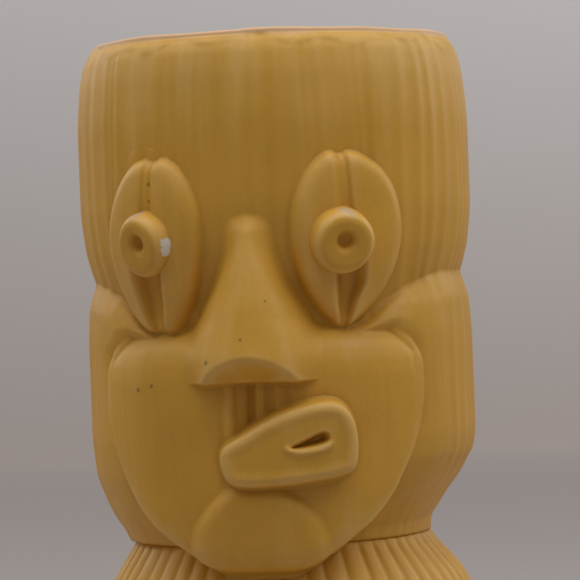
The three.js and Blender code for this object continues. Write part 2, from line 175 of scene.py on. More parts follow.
class Flutes:
    """Uneven upright grooves all round the cup, as a hand scrapes them. lobes is -1 for hollow flutes with
    narrow crests between them and 1 for round ribs with narrow grooves between them."""

    SAMPLES = 4096
    VARIETY = 0.45  # the shallowest groove is this much shallower than the deepest

    def __init__(self, count, unevenness, softness, lobes, seed):
        rng = np.random.default_rng(seed)
        widths = 1 + unevenness * rng.uniform(-1, 1, count)
        edges = np.concatenate([[0], np.cumsum(widths)]) / widths.sum()
        depths = 1 - self.VARIETY * rng.uniform(0, 1, count)
        at = (np.arange(self.SAMPLES) + 0.5) / self.SAMPLES
        lobe = np.searchsorted(edges, at) - 1
        across = (at - edges[lobe]) / (edges[lobe + 1] - edges[lobe]) * 2 - 1
        hollow = 1 - across**2 if lobes < 0 else 1 - np.sqrt(1 - 0.98 * across**2)
        profile = hollow * depths[lobe]
        spread = softness / TURN * self.SAMPLES
        frequency = np.fft.rfftfreq(self.SAMPLES)
        blur = np.exp(-2 * (math.pi * spread * frequency) ** 2)
        self.profile = np.fft.irfft(np.fft.rfft(profile) * blur, self.SAMPLES)
        self.phase = rng.uniform(0, 2 * math.pi, 4)

    def __call__(self, s, z, wander=0.5):
        """The groove's depth at (s, z), as a share of the full depth."""
        p = self.phase
        drift = np.sin(z / 19 + p[0] + 2 * np.sin(s / 23 + p[1])) + 0.6 * np.sin(z / 7.3 + p[2] + s / 5.1)
        at = ((s + wander * drift) / TURN % 1) * self.SAMPLES
        low = np.floor(at).astype(int)
        t = at - low
        return self.profile[low % self.SAMPLES] * (1 - t) + self.profile[(low + 1) % self.SAMPLES] * t


# ---------------------------------------------------------------- the cup's outside

HEAD_FLUTES = Flutes(count=62, unevenness=0.65, softness=0.5, lobes=-1, seed=11)
HAIR_FLUTES = Flutes(count=70, unevenness=0.4, softness=0.4, lobes=-1, seed=5)
TORSO_RIBS = Flutes(count=54, unevenness=0.2, softness=0.2, lobes=1, seed=8)
HEAD_FLUTE_DEPTH = 0.42
BROW_FLUTE_SHARE, SIDE_FLUTE_EXTRA = 0.8, 0.2  # the flutes are deeper off the brow
SCALLOP_Z = 156.7  # the height where the head's flutes end, on average
HAIR_FLUTE_DEPTH = 0.5
TORSO_RIB_DEPTH = 1.5

head_radius = through([
    (NECK_Z, 31.9), (58, 32.1), (62, 33), (66, 34.8), (70, 36.6), (76, 37.7), (104, 37.8), (108.5, 38.5),
    (112, 39.6), (117, 40.8), (126, 41.6), (140, 41.6), (150, 41.0), (155, 40.1), (157.4, 39.1),
    (158.6, 38.2), (RIM_Z, 37.2),
])
torso_radius = through([
    (TORSO_BOTTOM_Z, 35.2), (8, 37.2), (14, 38.9), (24, 40.6), (33, 41), (40, 40), (46, 37.8), (50.5, 35.2),
    (53.6, 33.2), (NECK_Z, 32.0),
])
lock_radius = through([
    (NECK_Z - 0.2, 31.7), (HAIR_BOTTOM_Z, 32.9), (60, 34.4), (64, 36.9), (68, 38.7), (72, 40.3), (78, 40.9),
    (96, 40.9), (103, 40.5), (106.5, 39.8), (109, 38.9),
])
jaw_radius = through([
    (FACE_BOTTOM_Z - 0.6, 38.2), (FACE_BOTTOM_Z, 39.3), (53, 40.9), (58, 41.8), (66, 42.5), (76, 42.9),
    (85, 43.2), (89, 43.2), (92, 42.9), (94.5, 42.2), (96.5, 41.2), (98.2, 39.8), (FACE_TOP_Z, 38.6),
])


NECK_SHIFT = 2.0
NECK_SHIFT_REACH = 7  # it fades out this far above and below the neck


def neck_shift(s, z):
    """The neck is cut in deeper on the viewer's right."""
    rightwards = 0.5 + 0.5 * np.sin(s / ARC_RADIUS)
    return NECK_SHIFT * rightwards * np.exp(-(((z - NECK_Z) / NECK_SHIFT_REACH) ** 2))


def head_cup(s, z):
    """The head vessel's fluted outside. Its flutes are fainter on the brow and end in scallops."""
    off_middle = np.abs(around(s))
    reach = SCALLOP_Z + 0.9 * np.sin(s / 2.3) + 0.7 * np.sin(s / 5.7 + 1)
    share = BROW_FLUTE_SHARE + SIDE_FLUTE_EXTRA * fade(off_middle, 20, 48)
    depth = HEAD_FLUTE_DEPTH * share * fade(z, reach + 1.4, reach - 0.4)
    return head_radius(z) - neck_shift(s, z) - depth * HEAD_FLUTES(s, z)


def torso_cup(s, z):
    depth = TORSO_RIB_DEPTH * fade(z, 4.6, 9) * fade(z, NECK_Z + 1, NECK_Z - 3)
    return torso_radius(z) - neck_shift(s, z) - depth * TORSO_RIBS(s, z, wander=0.25)


def cup(s, z):
    return np.where(z > NECK_Z - 0.3, head_cup(s, z), torso_radius(z) - neck_shift(s, z))


# ---------------------------------------------------------------- hair below the brow

HAIR_ROUND, HAIR_DROP = 5.5, 2.2  # the width and depth of the hair's rounded border
HAIR_FILLET = 3.2
LEAN = 3.2  # the head's lower edge ends higher on the viewer's right
lock_start_above_face = through([(98.4, 24.5), (100.5, 28), (103, 31.2), (106, 36.4), (108.4, 44)])
face_edge = through([
    (FACE_BOTTOM_Z, 7.5), (51.6, 10.5), (53.5, 14.6), (57, 20), (62, 26), (66, 29.6), (74, 34.4), (84, 37.8),
    (91, 38.3), (94.5, 37.2), (97, 34.8), (98.6, 31.8), (FACE_TOP_Z, 27),
])


def hair_radius(s, z):
    lean = LEAN * fade(z, 78, 63) * np.sin(s / ARC_RADIUS)
    depth = HAIR_FLUTE_DEPTH * fade(np.abs(around(s)), 43, 53) * fade(z, 107, 100)
    return lock_radius(z - lean) - neck_shift(s, z) - depth * HAIR_FLUTES(s, z)


def lock_outline(side):
    """From the lock's lower end up beside the face, over the cheek's corner and round to the back."""
    far = TURN / 2 + 12  # past the middle of the back, where the two locks' outlines meet
    below = HAIR_BOTTOM_Z - 6  # the hair runs into the collar without a border of its own
    heights = [below, 62, 68, 74, 80, 86, 90, 94, 98.4]
    front = [(face_edge(z) - 1.5 - 4.5 * fade(z, 93, 84), z) for z in heights]  # well under the face
    above = [(lock_start_above_face(z), z) for z in (98.5, 100.5, 103, 106, 108.4)]
    back = [(50, 109.6), (far, 109.8), (far, below)]
    return [(side * s, z) for s, z in front + above + back]


lock_distances = {side: inside_distance(lock_outline(side)) for side in SIDES}


def hair(s, z):
    """The cup with its hair: everything behind the face below the brow."""
    s_near = around(s)
    inner = np.where(s_near > 0, lock_distances[1](s_near, z), lock_distances[-1](s_near, z))
    pad = hair_radius(s_near, z) - quarter_round(inner, HAIR_ROUND, HAIR_DROP)
    return smooth_max(cup(s, z), pad, HAIR_FILLET)


# ---------------------------------------------------------------- the face's own surface

FACE_HALF_WIDTH = 39.8
FACE_FALL = 2.2
FACE_ROUND = 4.0
FACE_FILLET = 3.0


def face_plane(s, z):
    return jaw_radius(z) - FACE_FALL * np.abs(s / FACE_HALF_WIDTH) ** 4


def face_side(side):
    """One side of the face's outline, from the jaw up."""
    heights = [np.linspace(FACE_BOTTOM_Z, 57, 9), np.linspace(60, 90, 11), np.linspace(92, 98.9, 9)]
    return [(side * face_edge(z), z) for z in np.concatenate(heights)]


face_top = [(24, FACE_TOP_Z + 0.2), (-24, FACE_TOP_Z + 0.2)]
face_distance = inside_distance(face_side(1) + face_top + face_side(-1)[::-1])

chin_half_width = through([
    (FACE_BOTTOM_Z - 4, 14.6), (54.7, 14.6), (59.7, 13.2), (64.1, 9.8), (66.6, 7.2), (LIP_Z, 5.6), (70, 2.5),
])
CHIN_STEP = 0.75
CHIN_DOME = 1.3


def chin_swell(s, z):
    """The chin stands proud of the cheeks as a low shield."""
    edge = chin_half_width(z) - np.abs(s)
    step = CHIN_STEP * fade(edge, -1.0, 2.2)
    dome = CHIN_DOME * np.sqrt(np.clip(1 - (s / 15.2) ** 2, 0, 1)) * fade(edge, -1.0, 4)
    return (step + dome) * fade(z, 71, 65)


# The lip's upright folds, by arc length: height against the cheeks.
lip_folds = through([
    (-7.8, 0), (-6.9, -0.15), (-6.0, -0.2), (-5.3, 0.35), (-4.6, 0.5), (-3.9, 0.1), (-3.2, -0.8),
    (-2.2, -1.1), (-1.4, -1.5), (-0.6, -2.2), (0.2, -1.5), (1.0, -0.6), (2.0, -0.6), (3.0, -1.1),
    (4.0, -0.8), (4.8, -0.1), (5.6, -0.2), (6.6, -0.4), (7.8, 0),
])


def face_surface(s, z):
    """Cheeks, chin and upper lip before the face's border is rounded."""
    folds = lip_folds(s) * fade(z, 66, 74) * fade(z, 93, 90)
    return face_plane(s, z) + chin_swell(s, z) + folds


def face(s, z):
    """The surface up to the face: cup, hair, cheeks, chin and upper lip."""
    edge = face_distance(s, z)
    drop = 0.6 + 0.7 * fade(z, 90, 97) + 1.6 * fade(z, 60, 54)  # rounder at the cheeks' tops and the jaw
    pad = face_surface(s, z) - quarter_round(edge, FACE_ROUND, drop)
    return smooth_max(hair(s, z), pad, FACE_FILLET)


# ---------------------------------------------------------------- the eyes

SLIT_TOP = {-1: 20.1, 1: 19.0}
SLIT_BOTTOM = {-1: 20.6, 1: 19.5}
NOTCH = 0.9  # how far the leaf's top dips at the slit
EYE_ROUND, EYE_DROP = 2.6, 1.5
EYE_FILLET = 2.4

eye_inner_edge = {
    -1: through([
        (EYE_BOTTOM_Z, 17.4), (101, 16.4), (104, 14.3), (110, 11.6), (115, 10.5), (121, 10.0), (128, 11.7),
        (131.6, 13.8), (133.4, 15.8), (EYE_TOP_Z, 17.6),
    ]),
    1: through([
        (EYE_BOTTOM_Z, 18.6), (101, 16.9), (104, 13.9), (108, 11.2), (113, 9.6), (119, 8.8), (124, 9.5),
        (128, 11.2), (131, 13), (133.2, 15.3), (EYE_TOP_Z, 17.2),
    ]),
}
eye_outer_edge = {
    -1: through([
        (EYE_BOTTOM_Z, 24.5), (101, 27.6), (105.6, 31.2), (110.4, 33.6), (116.5, 34.5), (121.4, 33.9),
        (126, 32), (130.7, 29), (133, 26.2), (EYE_TOP_Z, 23.0),
    ]),
    1: through([
        (EYE_BOTTOM_Z, 21.2), (101, 23.8), (103, 26.4), (106.2, 29.6), (112, 32.8), (118, 33.7), (125, 32.3),
        (129.4, 29.9), (132.5, 26.3), (EYE_TOP_Z, 22.0),
    ]),
}
lid_crest = through([(EYE_BOTTOM_Z, 41.4), (104, 42), (110, 43.2), (117, 44.1), (126, 44.3),
                     (EYE_TOP_Z, 43.6)])
lid_rim = through([(EYE_BOTTOM_Z, 40.2), (106, 40.8), (112, 41.6), (120, 42.6), (EYE_TOP_Z, 43.0)])
groove_depth = through([(EYE_BOTTOM_Z, 1.4), (103, 2.6), (112, 3.3), (117, 2.6), (122, 0.9), (128, 0.7),
                        (132, 0.9), (EYE_TOP_Z, 1.0)])
groove_width = {
    -1: through([(EYE_BOTTOM_Z, 3.0), (105, 5.2), (111, 6.2), (118, 5.0), (124, 2.6), (EYE_TOP_Z, 2.2)]),
    1: through([(EYE_BOTTOM_Z, 1.4), (103.5, 2.8), (109, 5.0), (118, 4.4), (124, 2.2), (EYE_TOP_Z, 2.0)]),
}
groove_wall = through([(EYE_BOTTOM_Z, 1.6), (112, 2.4), (119, 2.2), (124, 2.0), (EYE_TOP_Z, 1.8)])


def slit_line(side, z):
    t = (z - EYE_BOTTOM_Z) / (EYE_TOP_Z - EYE_BOTTOM_Z)
    return SLIT_BOTTOM[side] + (SLIT_TOP[side] - SLIT_BOTTOM[side]) * t


def eye_outline(side):
    heights = EYE_BOTTOM_Z + (EYE_TOP_Z - EYE_BOTTOM_Z) * (1 - np.cos(np.linspace(0, math.pi, 11))) / 2
    up = [(side * eye_outer_edge[side](z), z) for z in heights]
    down = [(side * eye_inner_edge[side](z), z) for z in heights[::-1]]
    return closed_outline(up + [(side * SLIT_TOP[side], EYE_TOP_Z - NOTCH)] + down)


eye_distances = {side: inside_distance(eye_outline(side)) for side in SIDES}


def eye_pad(side, s, z):
    """A leaf split by an upright slit. The half towards the nose ends sharply at the slit, and the outer
    half slopes down into it."""
    out = side * s - slit_line(side, z)
    far = np.where(out > 0, eye_outer_edge[side](z), eye_inner_edge[side](z))
    across = np.clip(np.abs(out / (far - slit_line(side, z))), 0, 1)
    crown = lid_rim(z) + (lid_crest(z) - lid_rim(z)) * (1 - across**2.4)
    width = groove_width[side](z)
    outside = fade(out, width, 0.6 * width)
    groove = groove_depth(z) * np.where(out > 0, outside, fade(out, -groove_wall(z), 0.2))
    return crown - groove - quarter_round(eye_distances[side](s, z), EYE_ROUND, EYE_DROP)


def eyes(s, z):
    base = face(s, z)
    for side in SIDES:
        base = smooth_max(base, eye_pad(side, s, z), EYE_FILLET)
    return base


# ---------------------------------------------------------------- the nose

nose_edge = through([
    (NOSE_BASE_Z, 12.4), (92, 12.9), (97, 13.0), (102, 11.8), (107.5, 8.9), (114, 5.4), (118.3, 3.8),
    (NOSE_TOP_Z, 3.0),
])
nose_ridge = through([
    (NOSE_BASE_Z, 51.2), (94, 50.3), (98, 49.3), (104, 47.8), (112, 45.4), (118, 43.4), (NOSE_TOP_Z, 42.0),
])
nose_side = through([
    (NOSE_BASE_Z, 42.4), (93, 42.4), (98, 40.6), (103, 38.6), (108, 38.4), (114, 39.7), (118, 40.8),
    (NOSE_TOP_Z, 41),
])
NOSE_ROUNDNESS = 1.95
NOSE_UNDERSIDE_SLOPE = 1.35
NOSE_UNDERSIDE_BOW = 0.035
NOSE_UNDERSIDE_START = 44.2
NOSE_TIP_FILLET = 1.5
NOSE_FILLET = 2.6


def nose_pad(s, z):
    across = np.abs(s) / nose_edge(z)
    rise = np.maximum(nose_ridge(z) - nose_side(z), 0.8)
    front = nose_side(z) + rise * (1 - across**NOSE_ROUNDNESS)
    under = NOSE_UNDERSIDE_START + NOSE_UNDERSIDE_SLOPE * (z - NOSE_BASE_Z + 0.4) + NOSE_UNDERSIDE_BOW * s**2
    below = 5.0 * np.maximum(NOSE_BASE_Z - 0.2 - z, 0)
    above = 0.16 * np.maximum(z - NOSE_TOP_Z + 3.5, 0) ** 2
    return smooth_min(front, under, NOSE_TIP_FILLET) - below - above


def nose(s, z):
    return smooth_max(eyes(s, z), nose_pad(s, z), NOSE_FILLET)


# ---------------------------------------------------------------- the mouth

MOUTH_THICKNESS = 4.4
MOUTH_ROUND = 1.9
MOUTH_DISH = 0.25
MOUTH_FILLET = 1.2
MOUTH_MIDDLE = (10.0, 76.3)
mouth_outline = closed_outline([
    (-6.3, 73.4), (-5.6, 76.2), (-1.9, 78.2), (2.1, 80.8), (6.3, 82.8), (11, 84.3), (16, 84.6),
    (18.8, 81.6), (19.8, 77), (19.4, 71.2), (16.6, 69.8), (12, 69.1), (6.7, 68.5), (0, 68.1), (-4.8, 68.6),
], rounds=2)
mouth_distance = inside_distance(mouth_outline)
SLIT_DEPTH = 2.6
slit_outline = closed_outline([
    (6.6, 75.6), (9.4, 77.0), (12.4, 78.6), (13.9, 78.5), (14.0, 76.6), (10, 75.7),
], rounds=2)
slit_distance = inside_distance(slit_outline)
LOWER_LIP_WIDTH, LOWER_LIP_HEIGHT = 0.75, 0.55
lower_lip_z = through([(6.0, 75.5), (8.7, 74.7), (12.3, 75.1), (14.6, 76.2)])


def mouth_pad(s, z):
    """A pad of crooked lips with a raised rim and a pressed slit."""
    edge = mouth_distance(s, z)
    pad = face_plane(s, z) + MOUTH_THICKNESS - quarter_round(edge, MOUTH_ROUND, 0.75 * MOUTH_ROUND)
    pad -= MOUTH_DISH * fade(edge, 1.1, 3.4)
    pad -= SLIT_DEPTH * fade(slit_distance(s, z), -0.4, 0.9)
    lip = np.exp(-(((z - lower_lip_z(s)) / LOWER_LIP_WIDTH) ** 2)) * fade(s, 5.2, 7) * fade(s, 15.4, 13.6)
    return pad + LOWER_LIP_HEIGHT * lip


def mouth(s, z):
    return smooth_max(nose(s, z), mouth_pad(s, z), MOUTH_FILLET)


# ---------------------------------------------------------------- glaze thickness, from the relief

class Relief:
    """How far a surface stands above (ridge) or below (groove) its own surroundings, on a raster. The glaze
    is thin on ridges and pools in grooves."""

    STEP = 0.25
    NEAR, WIDE = 0.9, 3.2  # the surroundings' two sizes
    NEAR_SHARE, WIDE_SHARE = 0.7, 0.15

    def __init__(self, surface, low, high):
        self.low = low
        columns = int(TURN / self.STEP)
        self.step_s = TURN / columns
        rows = int((high - low) / self.STEP) + 1
        s = -TURN / 2 + np.arange(columns) * self.step_s
        z = low + np.arange(rows) * self.STEP
        radius = surface(*np.meshgrid(s, z))
        self.values = self.NEAR_SHARE * (radius - self.blurred(radius, self.NEAR))
        self.values += self.WIDE_SHARE * (radius - self.blurred(radius, self.WIDE))

    def blurred(self, radius, size):
        mirrored = np.concatenate([radius, radius[::-1]])
        fz = np.fft.fftfreq(len(mirrored))[:, None]
        fs = np.fft.rfftfreq(radius.shape[1])[None, :]
        spread = size / self.STEP
        keep = np.exp(-2 * (math.pi * spread) ** 2 * (fz**2 + fs**2))
        return np.fft.irfft2(np.fft.rfft2(mirrored) * keep, mirrored.shape)[: len(radius)]

    def __call__(self, s, z):
        rows, columns = self.values.shape
        u = (s + TURN / 2) / self.step_s
        v = np.clip((z - self.low) / self.STEP, 0, rows - 1.001)
        i, j = np.floor(u).astype(int), np.floor(v).astype(int)
        a, b = u - i, v - j
        left, right = i % columns, (i + 1) % columns
        bottom = self.values[j, left] * (1 - a) + self.values[j, right] * a
        top = self.values[j + 1, left] * (1 - a) + self.values[j + 1, right] * a
        return bottom * (1 - b) + top * b


head_relief = Relief(mouth, FACE_BOTTOM_Z, RIM_Z)
torso_relief = Relief(torso_cup, TORSO_BOTTOM_Z, NECK_Z)


# ---------------------------------------------------------------- meshes

def on_cup(s, z, radius):
    turn = s / ARC_RADIUS
    return np.stack([AXIS_X + radius * np.sin(turn), AXIS_Y - radius * np.cos(turn), z + 0 * s], -1)


def make_piece(name, points, faces, relief, material, nodes):
    """A smooth-shaded piece that rides on the body and stands for the CAD nodes named."""
    mesh = bpy.data.meshes.new(name)
    mesh.from_pydata(np.asarray(points) * MM, [], faces)
    mesh.shade_smooth()
    attribute = mesh.attributes.new("relief", "FLOAT", "POINT")
    attribute.data.foreach_set("value", np.clip(relief, -1, 1).astype(np.float32))
    mesh.validate()
    mesh.materials.append(material)
    piece = bpy.data.objects.new(name, mesh)
    bpy.context.scene.collection.objects.link(piece)
    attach(piece, BODY)
    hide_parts(*nodes)
    return piece


def grid_faces(rows, columns, start=0, wrap=False):
    """Quads over a grid of points, facing out when columns run to the right and rows run up."""
    index = start + np.arange(rows * columns).reshape(rows, columns)
    if wrap:
        index = np.concatenate([index, index[:, :1]], 1)
    a, b, c, d = index[:-1, :-1], index[:-1, 1:], index[1:, 1:], index[1:, :-1]
    return np.stack([a.ravel(), b.ravel(), c.ravel(), d.ravel()], 1)


def pressed_piece(name, s, z, front, back, material):
    """A closed pad between two radii over a grid of places whose columns run right and rows run up."""
    rows, columns = s.shape
    count = rows * columns
    points = np.concatenate([on_cup(s, z, front).reshape(-1, 3), on_cup(s, z, back).reshape(-1, 3)])
    outer = grid_faces(rows, columns)
    inner = grid_faces(rows, columns, count)[:, ::-1]
    index = np.arange(count).reshape(rows, columns)
    border = np.concatenate([index[0, :-1], index[:-1, -1], index[-1, :0:-1], index[:0:-1, 0]])
    ahead = np.roll(border, -1)
    wall = np.stack([border, border + count, ahead + count, ahead], 1)
    faces = np.concatenate([outer, inner, wall]).tolist()
    values = np.concatenate([head_relief(s, z).ravel(), np.zeros(count)])
    return make_piece(name, points, faces, values, material, [name])


def turned_piece(name, radii, heights, relief, material, closed_loop):
    """A closed solid turned about the cup's axis. Its rows follow the section from the outside's foot up,
    over the rim and down the inside; the last row joins the first, or both end on the axis."""
    rows, columns = radii.shape
    s = np.arange(columns) / columns * TURN
    points = on_cup(s[None, :], heights, radii).reshape(-1, 3)
    values = relief.ravel()
    faces = grid_faces(rows, columns, wrap=True).tolist()
    index = np.arange(rows * columns).reshape(rows, columns)
    ahead = np.roll(index, -1, axis=1)
    if closed_loop:
        faces += np.stack([index[-1], ahead[-1], ahead[0], index[0]], 1).tolist()
    else:
        bottom, top = len(points), len(points) + 1
        ends = [[AXIS_X, AXIS_Y, heights[0, 0]], [AXIS_X, AXIS_Y, heights[-1, 0]]]
        points = np.concatenate([points, ends])
        values = np.concatenate([values, [0, 0]])
        faces += [[bottom, b, a] for a, b in zip(index[0].tolist(), ahead[0].tolist())]
        faces += [[top, a, b] for a, b in zip(index[-1].tolist(), ahead[-1].tolist())]
    return make_piece(name, points, faces, values, material, [name])


def sunk(radius, outside):
    """A piece's surface dips under its neighbour past its own outline; outside is how far past it lies."""
    return radius - SINK * fade(outside, OVERLAP, OVERLAP + SINK_WIDTH)


# ---------------------------------------------------------------- materials

# The Mix node's sockets for colours go by number, as its sockets of other types share their names.
MIX_SHARE, MIX_A, MIX_B, MIX_RESULT = 0, 6, 7, 2


class Nodes:
    """A short way to write a material's nodes."""

    def __init__(self, name):
        self.material = bpy.data.materials.new(name)
        self.material.use_nodes = True
        self.tree = self.material.node_tree
        self.shader = self.tree.nodes["Principled BSDF"]

    def add(self, kind, inputs=None, **settings):
        node = self.tree.nodes.new("ShaderNode" + kind)
        for key, value in settings.items():
            setattr(node, key, value)
        for key, value in (inputs or {}).items():
            if isinstance(value, bpy.types.NodeSocket):
                self.tree.links.new(value, node.inputs[key])
            else:
                node.inputs[key].default_value = value
        return node

    def link(self, socket, name):
        self.tree.links.new(socket, self.shader.inputs[name])

    def place(self, scale=(1, 1, 1)):
        """The place on the object in metres, scaled along each axis."""
        coordinates = self.add("TexCoord").outputs["Object"]
        return self.add("Mapping", {"Vector": coordinates, "Scale": scale}).outputs["Vector"]

    def along(self, axis):
        """The place along "X", "Y" or "Z", in metres."""
        return self.add("SeparateXYZ", {"Vector": self.place()}).outputs[axis]

    def distance(self, centre, scale=(1, 1, 1)):
        """How far the scaled place is from centre, in metres."""
        inputs = {0: self.place(scale), 1: centre}
        return self.add("VectorMath", inputs, operation="DISTANCE").outputs["Value"]

    def noise(self, scale, detail=2.0, stretch=(1, 1, 1)):
        inputs = {"Vector": self.place(stretch), "Scale": scale, "Detail": detail}
        return self.add("TexNoise", inputs).outputs["Fac"]

    def math(self, operation, a, b):
        return self.add("Math", {0: a, 1: b}, operation=operation).outputs[0]

    def remap(self, value, low, high, to_low=0.0, to_high=1.0):
        inputs = {"Value": value, "From Min": low, "From Max": high, "To Min": to_low, "To Max": to_high}
        return self.add("MapRange", inputs, clamp=True).outputs["Result"]

    def mix(self, share, a, b):
        """From colour a to colour b. Each is a socket or (red, green, blue)."""
        a, b = (c if isinstance(c, bpy.types.NodeSocket) else (*c, 1) for c in (a, b))
        inputs = {MIX_SHARE: share, MIX_A: a, MIX_B: b}
        return self.add("Mix", inputs, data_type="RGBA").outputs[MIX_RESULT]

    def bump(self, height, distance, strength=1.0, normal=None):
        inputs = {"Height": height, "Distance": distance, "Strength": strength}
        if normal is not None:
            inputs["Normal"] = normal
        return self.add("Bump", inputs).outputs["Normal"]


GLAZE_POOLED = (0.56, 0.295, 0.035)
GLAZE_BODY = (0.70, 0.375, 0.048)
# the thin glaze's colour, also used for the painted light from above towards the rim
GLAZE_THIN_AND_TOP_LIT = (0.77, 0.46, 0.115)
GLAZE_LIP = (0.80, 0.50, 0.27)
CLAY = (0.74, 0.69, 0.60)
# the grey of the painted highlight on the pupils' top edges
HIGHLIGHT_GREY = (0.47, 0.42, 0.36)
SPECK = (0.19, 0.12, 0.03)
CLAY_FLECK = (0.62, 0.56, 0.47)
CLAY_STAIN = (0.45, 0.36, 0.25)
# Iron specks on the face: arc length, height and radius.
SPECKS = ((-12.0, 102.6, 0.5), (-7.4, 93.2, 0.6), (-0.8, 97.6, 0.4), (-25.6, 87.9, 0.6), (-21.8, 88.7, 0.55),
          (-20.2, 129.4, 0.65), (-20.1, 125.9, 0.45), (3.5, 105.0, 0.35))
TOP_LIGHT_FROM, TOP_LIGHT_TO = 0.134, 0.152  # heights in metres between which the glaze is painted paler upwards, as painted light from above


def glaze_thinness_and_top_light(nodes):
    """Rises on ridges and along streaks, where the glaze has run thin, and towards the rim as painted light
    from above.
    """
    relief = nodes.add("Attribute", attribute_name="relief").outputs["Fac"]
    streak = nodes.noise(190, detail=3, stretch=(1, 1, 0.05))
    shift = nodes.math("MULTIPLY", nodes.math("SUBTRACT", streak, 0.5), 1.1)
    # painted light: the glaze is made paler and less saturated towards the rim, as if lit from above
    painted_top_light = nodes.remap(nodes.along("Z"), TOP_LIGHT_FROM, TOP_LIGHT_TO, 0, 0.36)
    return nodes.math("ADD", nodes.math("ADD", relief, shift), painted_top_light)


def speck_mask(nodes):
    """Small specks scattered at random, and the larger ones on the face."""
    spots = nodes.add("TexVoronoi", {"Vector": nodes.place(), "Scale": 150.0, "Randomness": 1.0})
    rare = nodes.remap(spots.outputs["Color"], 0.955, 0.96)
    dot = nodes.remap(spots.outputs["Distance"], 0.075, 0.045)
    specks = nodes.math("MULTIPLY", rare, dot)
    for s, z, radius in SPECKS:
        out = float(mouth(np.array([[s]]), np.array([[z]]))[0, 0])
        gap = nodes.distance(on_cup(s, z, out) * MM)
        near = nodes.remap(gap, radius * MM, 0.5 * radius * MM)
        specks = nodes.math("MAXIMUM", specks, near)
    return specks


def glaze_colour(nodes):
    thinness_and_top_light = glaze_thinness_and_top_light(nodes)
    colour = nodes.mix(nodes.remap(thinness_and_top_light, -0.05, -0.75), GLAZE_BODY, GLAZE_POOLED)
    # paler where the glaze is thin, and painted paler towards the rim as painted light from above
    colour = nodes.mix(nodes.remap(thinness_and_top_light, 0.06, 0.55), colour, GLAZE_THIN_AND_TOP_LIT)
    cloud = nodes.remap(nodes.noise(45, detail=3), 0.3, 0.7, 0.94, 1.06)
    mottle = nodes.remap(nodes.noise(1300, detail=3), 0.3, 0.7, 0.98, 1.02)
    inputs = {"Value": nodes.math("MULTIPLY", cloud, mottle), "Color": colour}
    shade = nodes.add("HueSaturation", inputs).outputs["Color"]
    return nodes.mix(nodes.math("MULTIPLY", speck_mask(nodes), 0.7), shade, SPECK)


def glaze_surface(nodes):
    """Satin gloss with a fine orange-peel skin."""
    grain = nodes.noise(2600, detail=2)
    peel = nodes.noise(520, detail=2)
    normal = nodes.bump(peel, 0.00006, 0.8)
    nodes.link(nodes.bump(grain, 0.000012, 0.7, normal), "Normal")
    nodes.link(nodes.remap(nodes.noise(140, detail=4), 0.3, 0.7, 0.42, 0.54), "Roughness")
    nodes.shader.inputs["IOR"].default_value = 1.5
    nodes.shader.inputs["Specular IOR Level"].default_value = 0.35


def make_glaze():
    nodes = Nodes("mustard_glaze")
    nodes.link(glaze_colour(nodes), "Base Color")
    glaze_surface(nodes)
    return nodes.material


def make_rim_glaze():
    """The cup's glaze, worn thin and peach-coloured over the rim, as the clay shows through."""
    nodes = Nodes("mustard_glaze_thin_at_rim")
    ragged = nodes.math("MULTIPLY", nodes.math("SUBTRACT", nodes.noise(170), 0.5), 0.0014)
    at = nodes.math("ADD", nodes.along("Z"), ragged)
    lip = nodes.remap(at, (RIM_Z - 1.7) * MM, (RIM_Z - 0.8) * MM)
    nodes.link(nodes.mix(lip, glaze_colour(nodes), GLAZE_LIP), "Base Color")
    glaze_surface(nodes)
    return nodes.material


def make_bare_clay():
    nodes = Nodes("bare_clay")
    fleck = nodes.remap(nodes.noise(900, detail=4), 0.35, 0.65)
    colour = nodes.mix(fleck, CLAY_FLECK, CLAY)
    stain = nodes.remap(nodes.noise(90, detail=3), 0.5, 0.75)
    nodes.link(nodes.mix(nodes.math("MULTIPLY", stain, 0.35), colour, CLAY_STAIN), "Base Color")
    nodes.link(nodes.remap(nodes.noise(700), 0.3, 0.7, 0.75, 0.95), "Roughness")
    nodes.link(nodes.bump(nodes.noise(1500, detail=4), 0.00008), "Normal")
    return nodes.material


# Where a ragged patch on a pupil starts and is whole, in metres from its middle.
HIGHLIGHT_PATCH = (0.0033, 0.0025)
CHIP_PATCH = (0.0024, 0.0023)


def make_pupil_glaze(name, painted_highlight, chip=None):
    """The pupil's glaze, with a grey painted highlight at the first place given, and chipped to the white
    clay at the place chip.
    """
    nodes = Nodes(name)
    colour = glaze_colour(nodes)
    ragged = nodes.math("MULTIPLY", nodes.noise(700, detail=4), 0.0022)
    tall = (1, 1, 0.62)  # a patch reaches further up and down than across
    # painted highlight: a greyish patch on each pupil's top edge, where the light from above shines on the
    # glaze
    patches = [(painted_highlight, HIGHLIGHT_PATCH, HIGHLIGHT_GREY, 0.5)]
    if chip is not None:
        patches.append((chip, CHIP_PATCH, CLAY, 1.0))
    for centre, (outer, inner), paint, share in patches:
        middle = [c * k for c, k in zip(centre, tall)]
        inside = nodes.remap(nodes.math("ADD", nodes.distance(middle, tall), ragged), outer, inner)
        colour = nodes.mix(nodes.math("MULTIPLY", inside, share), colour, paint)
    nodes.link(colour, "Base Color")
    glaze_surface(nodes)
    return nodes.material


# ---------------------------------------------------------------- the vessels

COLUMNS = 660


def section_rows(points, count):
    """Evenly spaced points along a smooth section through [radius, height] points."""
    points = np.array(points, float)
    along = np.concatenate([[0], np.cumsum(np.linalg.norm(np.diff(points, axis=0), axis=1))])
    at = np.linspace(0, along[-1], count)
    return through(np.stack([along, points[:, 0]], 1))(at), through(np.stack([along, points[:, 1]], 1))(at)


